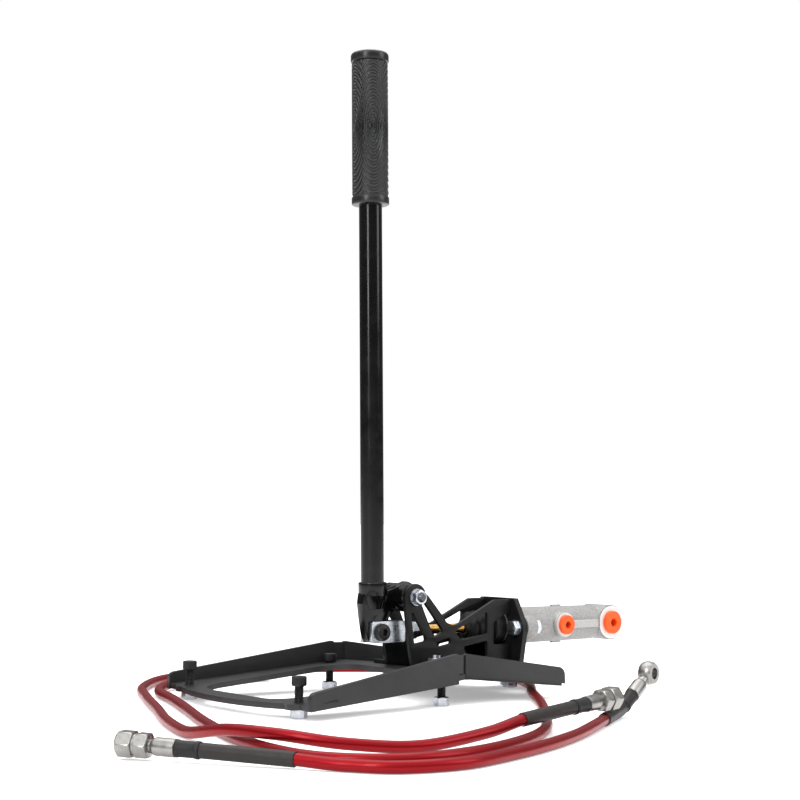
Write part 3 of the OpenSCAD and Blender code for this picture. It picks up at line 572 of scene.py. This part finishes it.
def hose_path(first, run_0, route, last, run_1, steps=STEPS):
    """The curve of part.scad's hose, with more points on it."""
    p = [behind(first, run_0 - LEAD), behind(first, run_0)]
    p += [Vector(q) - Vector((ORIGIN_X * MM, 0, 0)) for q in route]
    p += [behind(last, run_1), behind(last, run_1 - LEAD)]
    path = []
    for i in range(1, len(p) - 2):
        a, b, c, d = p[i - 1:i + 3]
        for j in range(steps):
            t = j / steps
            q = 0.5 * (2 * b + (c - a) * t + (2 * a - 5 * b + 4 * c - d) * t * t
                       + (3 * b - a - 3 * c + d) * t ** 3)
            q.z = max(q.z, HOSE_D / 2)
            path.append(q)
    head, tail = behind(first, HOSE_START), behind(last, HOSE_START)
    lead = [head.lerp(path[0], i / steps) for i in range(steps)]
    path.append(p[-2])
    return lead + path + [p[-2].lerp(tail, i / steps) for i in range(1, steps + 1)]


def round_ring(place, way, radius, sides):
    """Points round a place on a path, across its way."""
    side = Vector((0, 0, 1)).cross(way).normalized()
    up = way.cross(side)
    turns = [TAU * k / sides for k in range(sides)]
    return [place + radius * (math.cos(t) * side + math.sin(t) * up) for t in turns]


def tube(path, radius, sides=20):
    """Round tube along a path, with a map of turn and length for the braid."""
    bm = bmesh.new()
    layer = bm.loops.layers.uv.new("braid")
    rings, lengths, run = [], [], 0.0
    n = len(path)
    for i, p in enumerate(path):
        way = (path[min(i + 1, n - 1)] - path[max(i - 1, 0)]).normalized()
        rings.append([bm.verts.new(q) for q in round_ring(p, way, radius, sides)])
        if i:
            run += (p - path[i - 1]).length
        lengths.append(run)
    for i in range(n - 1):
        for k in range(sides):
            m = (k + 1) % sides
            face = bm.faces.new((rings[i][k], rings[i][m], rings[i + 1][m], rings[i + 1][k]))
            corners = ((k, i), (k + 1, i), (k + 1, i + 1), (k, i + 1))
            for loop, (turn, row) in zip(face.loops, corners):
                loop[layer].uv = (turn / sides, lengths[row])
    bm.faces.new(reversed(rings[0]))
    bm.faces.new(rings[-1])
    return bm


def hose(name, node, path):
    """One hose along its path, in place of its CAD solid."""
    return finish_mesh(name, tube(path, HOSE_D / 2), "hose_red", "base", node, merge=0.0)


path_a = hose_path(END_1, LONG_RUN, ROUTE_A, END_3, SHORT_RUN)
path_b = hose_path(END_2, LONG_RUN, ROUTE_B, END_4, LONG_RUN)
hose_a = hose("red_hose_short", "hose_short", path_a)
hose_b = hose("red_hose_long", "hose_long", path_b)


def point_at(path, run):
    """Place and way on a path at a length along it."""
    for a, b in zip(path, path[1:]):
        step = (b - a).length
        if run <= step:
            return a.lerp(b, run / step), (b - a).normalized()
        run -= step
    return path[-1], (path[-1] - path[-2]).normalized()


def on_path(bm, path, profile, sides=48):
    """Skin round a path: profile is a list of (length along it, radius) in millimetres."""
    rings = []
    for run, radius in profile:
        p, way = point_at(path, run * MM)
        rings.append(round_ring(p, way, radius * MM, sides))
    loft_round(bm, rings)


WALL_R = HOSE_D / MM / 2 + 0.15
COLLAR_L = 18.5
SLEEVE_L = 70.0
NUT_BACK = -24.0
FERRULE_BACK = -44.0


def sleeve(bm, path):
    """Bare shrink sleeve: its wall follows the hose, with a soft edge at its far end."""
    end = COLLAR_L + SLEEVE_L
    rows = [(end, WALL_R), (end, 5.2), (end - 0.4, 5.45)]
    n = 24
    rows += [(end - 0.8 - (SLEEVE_L - 1.2) * i / n, 5.5) for i in range(n + 1)]
    rows += [(COLLAR_L + 0.1, 5.4), (COLLAR_L + 0.1, WALL_R)]
    on_path(bm, path, rows)


def collar(bm, path):
    """Rubber collar with a bead at both ends and a waist between them."""
    rows = [(0.05, WALL_R), (0.05, 5.9), (0.6, 6.25), (1.6, 6.3), (2.4, 6.0), (3.2, 5.85), (9.2, 5.8),
            (14.1, 5.85), (14.9, 6.0), (15.7, 6.28), (17.3, 6.3), (18.1, 6.1), (18.45, 5.7),
            (18.45, WALL_R)]
    on_path(bm, path, rows)


def end_place(end):
    """Frame at the mouth of a hose end, its Z out of the mouth."""
    x, y, z = end[0]
    turn = Matrix.Rotation(math.radians(end[1]), 4, "Z") @ Matrix.Rotation(math.radians(90 - end[2]), 4, "Y")
    return Matrix.Translation((x - ORIGIN_X * MM, y, z)) @ turn


def ferrule(bm, place):
    """Smooth pressed ferrule, and the neck in front of it."""
    rows = [(0, FERRULE_BACK), (6.1, FERRULE_BACK), (6.5, FERRULE_BACK + 0.4), (6.5, -29.4), (6.3, -28.4),
            (5.8, -27.2), (5.2, -26.2), (5.0, -26.0), (5.0, NUT_BACK - SEAT), (0, NUT_BACK - SEAT)]
    loft(bm, spun(place, rows))


def swivel_nut(bm, place):
    """Flare nut: hexagon with turned ends, groove, narrower hexagon behind, and a threaded mouth."""
    rows = hex_side(16.5, NUT_BACK, -14.4) + [(7.7, -14.3), (7.7, -12.6)] + hex_side(17.5, -12.5, -0.9)
    rows += [(8.2, -0.5), (7.9, 0), (7.0, 0), (6.62, -0.5)] + threads(6.62, -0.9, -11.0, 1.25, -0.45)
    rows += [(6.6, -12), (4.2, -8.6), (3.0, -8.2), (3.0, -12), (0, -12)]
    loft(bm, spun(place, [(0, NUT_BACK)] + rows, 144))


def banjo_eye(bm, place):
    """Ball of a banjo with two flat faces, its bore, and the neck to the ferrule."""
    eye = place @ Matrix.Translation((0, 0, -0.010)) @ Matrix.Rotation(math.radians(90), 4, "X")
    ball, flat, bore = 10.5, 6.0, 5.05
    rows = [(bore, -flat), (bore + 0.5, -flat), (8.2, -flat)]
    edge = math.degrees(math.asin(flat / ball))
    rows += arc(0, 0, ball, -edge, edge, 18)
    rows += [(8.2, flat), (bore + 0.5, flat), (bore, flat)]
    loft_round(bm, spun(eye, rows, 96))
    neck_r, neck_end = 4.0, -18.6
    loft(bm, spun(place, [(0, NUT_BACK), (neck_r, NUT_BACK), (neck_r, neck_end), (0, neck_end)]))


def fittings(tag, ends, path):
    """The pieces on one hose: sleeves, collars, ferrules and what each end has."""
    made = []
    ways = [path, list(reversed(path))]

    def piece(name, slot, node, build):
        bm = bmesh.new()
        build(bm)
        made.append(finish_mesh(f"{tag}_{name}", bm, slot, "base", node))

    def sleeves(bm):
        for way in ways:
            sleeve(bm, way)

    def collars(bm):
        for way in ways:
            collar(bm, way)

    def ferrules(bm):
        for end in ends:
            ferrule(bm, end_place(end))

    def nuts(bm):
        for end in ends:
            if end is not END_3:
                swivel_nut(bm, end_place(end))

    piece("sleeves", "sleeve_black", "hose_sleeves", sleeves)
    piece("collars", "seal_rubber", "hose_collars", collars)
    piece("ferrules", "fitting", "hose_ferrules", ferrules)
    piece("flare_nuts", "fitting", "swivel_nuts", nuts)
    if END_3 in ends:
        piece("banjo_eye", "fitting", "banjo", lambda bm: banjo_eye(bm, end_place(END_3)))
    return made


fittings("short_hose", (END_1, END_3), path_a)
fittings("long_hose", (END_2, END_4), path_b)


# Grip
LEVER = at(SOCKET_X, 0, SOCKET_Z, (0, -LEVER_LEAN, 0))


def grip_rib(a, z):
    """Height of the moulded ribs: fine lines round five centres, one on each fifth of the grip."""
    fifth, first = TAU / 5, math.radians(-117)
    radius, stretch, spacing, height = 17.0, 3.2, 1.9, 0.4
    across = ((a - first + fifth / 2) % fifth - fifth / 2) * radius
    along = (z - GRIP_L / 2) / stretch
    wave = math.sin(TAU * math.hypot(across, along) / spacing)
    return height * max(-1.0, min(1.0, 1.6 * wave))


def ribbed(z, body_r, fade):
    """Radius of the ribbed grip at an angle, less ribbed as fade goes to 0."""
    def radius(a):
        return body_r - 0.1 * (1 - fade) + fade * grip_rib(a, z)
    return radius


def make_grip():
    """Closed grip with a flange at each end and fine ribs between them."""
    bm = bmesh.new()
    sides, body_r, low_r, top_r, round_r = 360, 16.95, 17.85, 18.2, 3.4
    bore_r, floor = TUBE_R + 0.05, GRIP_L - GRIP_CAP + 0.04
    place = LEVER @ Matrix.Translation((0, 0, GRIP_BASE * MM))
    profile = [(bore_r, 0.0), (15.5, 0.0), (17.1, 0.15), (17.6, 0.5), (low_r, 1.2), (low_r, 6.6), (17.6, 7.2),
               (16.9, 7.6), (16.7, 8.2)]
    start, stop, rows = 8.8, GRIP_L - 9.8, 260
    for i in range(rows + 1):
        z = start + (stop - start) * i / rows
        fade = min(1.0, i / 4, (rows - i) / 4)
        profile.append((ribbed(z, body_r, fade), z))
    profile += [(16.7, GRIP_L - 9.4), (17.4, GRIP_L - 9.0), (18.0, GRIP_L - 8.8), (top_r, GRIP_L - 8.3)]
    profile += arc(top_r - round_r, GRIP_L - round_r, round_r, 0, 90, 9) + [(9.0, GRIP_L), (0, GRIP_L)]
    loft(bm, spun(place, [(0, floor), (bore_r, floor)] + profile, sides))
    finish_mesh("ribbed_grip", bm, "grip_rubber", "lever", "grip")


make_grip()


# Fasteners
def make_frame_fasteners():
    """Long screws that carry the frame, each on its nut."""
    bm = bmesh.new()
    for x, y in FRAME_SPOTS:
        socket_screw(bm, at(x, y, HEAD_Z), FRAME_HEAD_D, FRAME_HEAD_H, BOLT_R, FRAME_BOLT_L)
    finish_mesh("knurled_frame_bolts", bm, "black_screw", "base", "frame_bolts")
    bm = bmesh.new()
    for x, y in FRAME_SPOTS:
        nut(bm, at(x, y, 0), BOLT_FLATS, FRAME_NUT_H)
    finish_mesh("turned_frame_nuts", bm, "zinc", "base", "frame_nuts")


def make_bracket_fasteners():
    """Nuts on the bracket's feet, and the pivot bolt with its nut."""
    bm = bmesh.new()
    for x in FOOT_X:
        for y in (-FOOT_Y, FOOT_Y):
            place = rear_frame() @ Matrix.Translation((x * MM, y * MM, (SHEET_T + PLATE_T + SEAT) * MM))
            nut(bm, place, BOLT_FLATS, NUT_H)
    finish_mesh("turned_bracket_nuts", bm, "zinc", "base", "bracket_nuts")
    seat_y = SIDE_OUT + WASHER_T + SEAT
    bm = bmesh.new()
    nut(bm, at(PIVOT.x, -seat_y - NUT_H, PIVOT.z, (-90, 0, 0)), BOLT_FLATS, NUT_H)
    finish_mesh("turned_pivot_nut", bm, "zinc", "base", "pivot_nut")
    bm = bmesh.new()
    length, plain = 2 * (SIDE_OUT + WASHER_T) + NUT_H + THREAD_PAST, 44.0
    hex_bolt(bm, at(PIVOT.x, seat_y, PIVOT.z, (-90, 0, 0)), BOLT_FLATS, HEAD_H, BOLT_R, length, plain)
    finish_mesh("threaded_pivot_bolt", bm, "steel", "base", "pivot_bolt")


def make_cylinder_fasteners():
    """Two bolts through the end plate and the cylinder's ears."""
    length, plain = WASHER_T + END_T + EAR_T + NUT_H + THREAD_PAST, END_T + EAR_T
    bm = bmesh.new()
    for y in (-FLANGE_Y, FLANGE_Y):
        place = at(END_X - WASHER_T - SEAT, y, AXIS_Z, (0, -90, 0))
        hex_bolt(bm, place, BOLT_FLATS, HEAD_H, BOLT_R, length, plain)
    finish_mesh("threaded_cylinder_bolts", bm, "zinc", "base", "cylinder_bolts")
    bm = bmesh.new()
    for y in (-FLANGE_Y, FLANGE_Y):
        nut(bm, at(END_X + END_T + EAR_T + SEAT, y, AXIS_Z, (0, 90, 0)), BOLT_FLATS, CYLINDER_NUT_H)
    finish_mesh("turned_cylinder_nuts", bm, "zinc", "base", "cylinder_nuts")


def make_clevis_fasteners():
    """Domed screw in the clevis, and the jam nut behind it."""
    bm = bmesh.new()
    place = at(PIN_X, -CLEVIS_HW - SEAT, AXIS_Z, (90, 0, 0))
    width = 2 * CLEVIS_HW
    button_screw(bm, place, CLEVIS_HEAD_D, CLEVIS_HEAD_H, BOLT_R, width + CLEVIS_NUT_ROOM, width)
    finish_mesh("domed_clevis_screw", bm, "black_screw", "linkage", "clevis_screw")
    bm = bmesh.new()
    nut(bm, at(PIN_X + CLEVIS_L + SEAT, 0, AXIS_Z, (0, 90, 0)), JAM_FLATS, JAM_H, ROD_R + 0.05)
    finish_mesh("turned_jam_nut", bm, "zinc", "linkage", "jam_nut")


make_frame_fasteners()
make_bracket_fasteners()
make_cylinder_fasteners()
make_clevis_fasteners()


# Bracket
TRUSS_EDGE = [(96, 28.4), (END_X, 15.6), (END_X, 45.5), (199.5, 45.5), (199.5, 67), (213, 73.8),
              (END_X, 76.5), (END_X, 89), (200.5, 89), (152.6, 66.6), (147.1, 66), (139.8, 69),
              (134.5, 75.7), (112.6, 99.4)]
TRUSS = rounded(TRUSS_EDGE, 3.0) + arc(PIVOT.x, PIVOT.z, 12.5, 26, 188) + [(89.4, 79.7), (94, 45)]
TRUSS_OPENINGS = [[(95.7, 79.6), (98.2, 79.2), (115.6, 52.8), (100, 50)],
                  [(108.4, 87.4), (112.4, 88.2), (135.4, 60.8), (123.8, 55.4)],
                  [(125, 50.6), (143.3, 54.6), (144.9, 48.8), (129.8, 46.4)],
                  [(150.2, 59), (153, 61.8), (191.2, 77.6), (191.2, 56.2), (158.4, 52)],
                  [(160.6, 45), (191.2, 49.8), (191.2, 34), (164, 38.5)]]
FOOT_HW = 13.0
FOOT_IN = 20.0
FOOT_OUT = 47.0


def make_bracket(name, node, side):
    """Laser-cut truss plate with its two bent feet."""
    bm = bmesh.new()
    holes = [rounded(points, 1.6) for points in TRUSS_OPENINGS] + [hole(PIVOT.x, PIVOT.z, HOLE_R)]
    cut_plate(bm, at(0, -SIDE_IN if side < 0 else SIDE_OUT, 0, (90, 0, 0)), TRUSS, holes, PLATE_T)
    place = rear_frame() @ Matrix.Translation((0, 0, SHEET_T * MM))
    for x in FOOT_X:
        foot = rounded([(x - FOOT_HW, FOOT_IN), (x + FOOT_HW, FOOT_IN), (x + FOOT_HW, FOOT_OUT),
                        (x - FOOT_HW, FOOT_OUT)], 4.0)
        foot = [(px, side * py) for px, py in foot]
        cut_plate(bm, place, foot, [hole(x, side * FOOT_Y, HOLE_R)], PLATE_T)
    finish_mesh(name, bm, "plate_grey", "base", node)


make_bracket("cut_bracket_near", "bracket_near", -1)
make_bracket("cut_bracket_far", "bracket_far", 1)


# Lever arm, rod, rib and corners
ARM_HT = 4.8


def make_lever_arm():
    """Arm plate, hub tube and socket cup, welded together."""
    bm = bmesh.new()
    outline = rounded([(79, 102), (51.5, 99), (50.4, 88), (52.4, 74), (54.6, 62), (57.6, 53), (66, 51.2),
                       (75, 52), (80.2, 58), (81.8, 74.5), (91.5, 84)], 4.0)
    outline += arc(PIVOT.x, PIVOT.z, 14.5, 230, 440)
    place = at(0, ARM_HT, 0, (90, 0, 0))
    cut_plate(bm, place, outline, [hole(PIN_X, AXIS_Z, 4.06)], 2 * ARM_HT, 0.8)
    hub = [(6.4, -15.4), (11.6, -15.4), (12.5, -14.5), (12.5, -6.0), (12.5, 6.0), (12.5, 14.5),
           (11.6, 15.4), (6.4, 15.4)]
    loft_round(bm, spun(at(PIVOT.x, 0, PIVOT.z, (-90, 0, 0)), hub))
    cup = [(0, 4), (11.06, 4), (11.06, 12.9), (12.9, 13), (13.4, 12.5), (13.5, 11.8), (13.5, 1.0),
           (13.3, 0.5), (12.7, 0.2), (12.5, -0.4), (9.6, -11.2), (9.0, -11.8), (0, -11.8)]
    loft(bm, spun(LEVER, cup))
    beads, weld_x, weld_z = 9, 79.0, 101.5
    for side in (-ARM_HT, ARM_HT):
        for k in range(beads):
            t = k / (beads - 1)
            spot = Matrix.Translation(datum(weld_x + 9.5 * t, side, weld_z + 2.6 * t))
            radius = (1.25 + 0.2 * math.sin(9.0 * k)) * MM
            bmesh.ops.create_icosphere(bm, subdivisions=2, radius=radius, matrix=spot)
    finish_mesh("welded_lever_arm", bm, "lever_black", "lever", "lever_arm")


def make_pushrod():
    """Rod with a thread behind the clevis and a ball at the piston."""
    bm = bmesh.new()
    tip_r, plain_r, thread_end, plain_end, ball_z = 4.2, 4.7, 46.0, 146.0, 147.2
    rows = [(0, 0), (tip_r, 0)] + threads(ROD_R, 0.8, thread_end, 1.5, 0.55)
    rows += [(plain_r, thread_end + 0.6), (plain_r, plain_end), (tip_r, plain_end + 0.4)]
    for degrees in range(60, 180, 15):
        t = math.radians(degrees)
        rows.append((ROD_R * math.sin(t), ball_z - ROD_R * math.cos(t)))
    rows.append((0, ball_z + ROD_R))
    loft(bm, spun(at(ROD_X, 0, AXIS_Z, (0, 90, 0)), rows))
    finish_mesh("threaded_pushrod", bm, "yellow_zinc", "linkage", "pushrod")


def make_cast_rib():
    """Raised rib of the casting between its two bosses."""
    bm = bmesh.new()
    start, stop, half, inner_y, depth = 300.0, 343.5, 4.0, -16.0, 5.3
    low, high = AXIS_Z - half, AXIS_Z + half
    outline = rounded([(start, low), (stop, low), (stop, high), (start, high)], 1.5)
    cut_plate(bm, at(0, inner_y, 0, (90, 0, 0)), outline, [], depth, 1.2)
    finish_mesh("cast_rib", bm, "cast_aluminium", "base")


def make_fold_corners():
    """Bent corners that join each flange to the wing behind the fold, set in from both faces."""
    bm = bmesh.new()
    thick = 2.4
    turn = math.degrees(math.atan(0.3))
    outline = rounded([(-4, 26), (14, 26), (14, 45), (-4, 45)], 0.8)
    cut_plate(bm, at(FLANGE_END_X, 3.7 - WAIST_HW, 0, (90, 0, turn)), outline, [], thick)
    cut_plate(bm, at(FLANGE_END_X, WAIST_HW - 1.2, 0, (90, 0, -turn)), outline, [], thick)
    finish_mesh("fold_corners", bm, "powder_black", "base")


make_lever_arm()
make_pushrod()
make_cast_rib()
make_fold_corners()


def ease_edges(node, width):
    """Joins the facets of a CAD piece and eases its edges."""
    join = NODES[node].modifiers.new("join", "WELD")
    join.merge_threshold = 0.000002
    ease = NODES[node].modifiers.new("ease", "BEVEL")
    ease.width = width
    ease.segments = 2
    ease.limit_method = "ANGLE"
    ease.angle_limit = math.radians(40)


for node_name, edge in (("end_plate", 0.0006), ("clevis", 0.0010), ("cylinder_body", 0.0008)):
    ease_edges(node_name, edge)


# Stage
def make_floor():
    """Wide white floor that glows a little, so that it burns out as in the photo."""
    bm = bmesh.new()
    bmesh.ops.create_circle(bm, cap_ends=True, segments=96, radius=30.0)
    mesh = bpy.data.meshes.new("floor")
    bm.to_mesh(mesh)
    bm.free()
    floor = bpy.data.objects.new("floor", mesh)
    scene.collection.objects.link(floor)
    mat, tree, bsdf = nodes_of("floor_white")
    coord = tree.nodes.new("ShaderNodeTexCoord").outputs["Object"]
    white = ramp(tree, noise(tree, coord, 3.0), [(0.3, (0.88, 0.88, 0.88)), (0.7, (0.9, 0.9, 0.9))])
    tree.links.new(white, bsdf.inputs["Base Color"])
    bsdf.inputs["Roughness"].default_value = 0.7
    bsdf.inputs["Specular IOR Level"].default_value = 0.2
    bsdf.inputs["Emission Color"].default_value = (1.0, 1.0, 1.0, 1.0)
    bsdf.inputs["Emission Strength"].default_value = 0.36
    mesh.materials.append(mat)
    floor.location.z = -0.0002


def make_world():
    """White to the camera, and brighter overhead than at the sides to everything else."""
    world = bpy.data.worlds.new("studio")
    world.use_nodes = True
    tree = world.node_tree
    tree.nodes["Background"].inputs["Color"].default_value = (1.0, 1.0, 1.0, 1.0)
    seen = tree.nodes.new("ShaderNodeLightPath").outputs["Is Camera Ray"]
    split = tree.nodes.new("ShaderNodeSeparateXYZ")
    tree.links.new(tree.nodes.new("ShaderNodeTexCoord").outputs["Generated"], split.inputs[0])
    sky = to_range(tree, split.outputs["Z"], 0.1, 0.75, 0.0, 0.9)
    pick = tree.nodes.new("ShaderNodeMix")
    tree.links.new(seen, pick.inputs["Factor"])
    tree.links.new(sky, pick.inputs["A"])
    pick.inputs["B"].default_value = 1.0
    tree.links.new(pick.outputs["Result"], tree.nodes["Background"].inputs["Strength"])
    scene.world = world
    scene.view_settings.view_transform = "Standard"


def area_light(name, place, aim, size, power):
    """Soft box at a place, turned to what it lights."""
    data = bpy.data.lights.new(name, "AREA")
    data.shape = "RECTANGLE"
    data.size, data.size_y = size
    data.energy = power
    obj = bpy.data.objects.new(name, data)
    scene.collection.objects.link(obj)
    obj.location = place
    obj.rotation_mode = "QUATERNION"
    obj.rotation_quaternion = (Vector(aim) - Vector(place)).to_track_quat("-Z", "Y")


def soft_sun(name, aim, angle, strength):
    """Sun as wide as an overcast sky."""
    data = bpy.data.lights.new(name, "SUN")
    data.angle = math.radians(angle)
    data.energy = strength
    obj = bpy.data.objects.new(name, data)
    scene.collection.objects.link(obj)
    obj.rotation_mode = "QUATERNION"
    obj.rotation_quaternion = Vector(aim).to_track_quat("-Z", "Y")


make_floor()
make_world()
soft_sun("wide_sun", (0.1, 0.15, -1.0), 120.0, 2.2)
area_light("key_left", (-2.6, -1.2, 1.6), (0, 0, 0.3), (0.6, 2.2), 48.0)
area_light("fill_right", (1.8, -2.2, 1.5), (0, 0, 0.25), (1.2, 1.6), 26.0)
area_light("top_soft", (0.2, 0.6, 2.6), (0, 0, 0.0), (2.4, 2.4), 40.0)
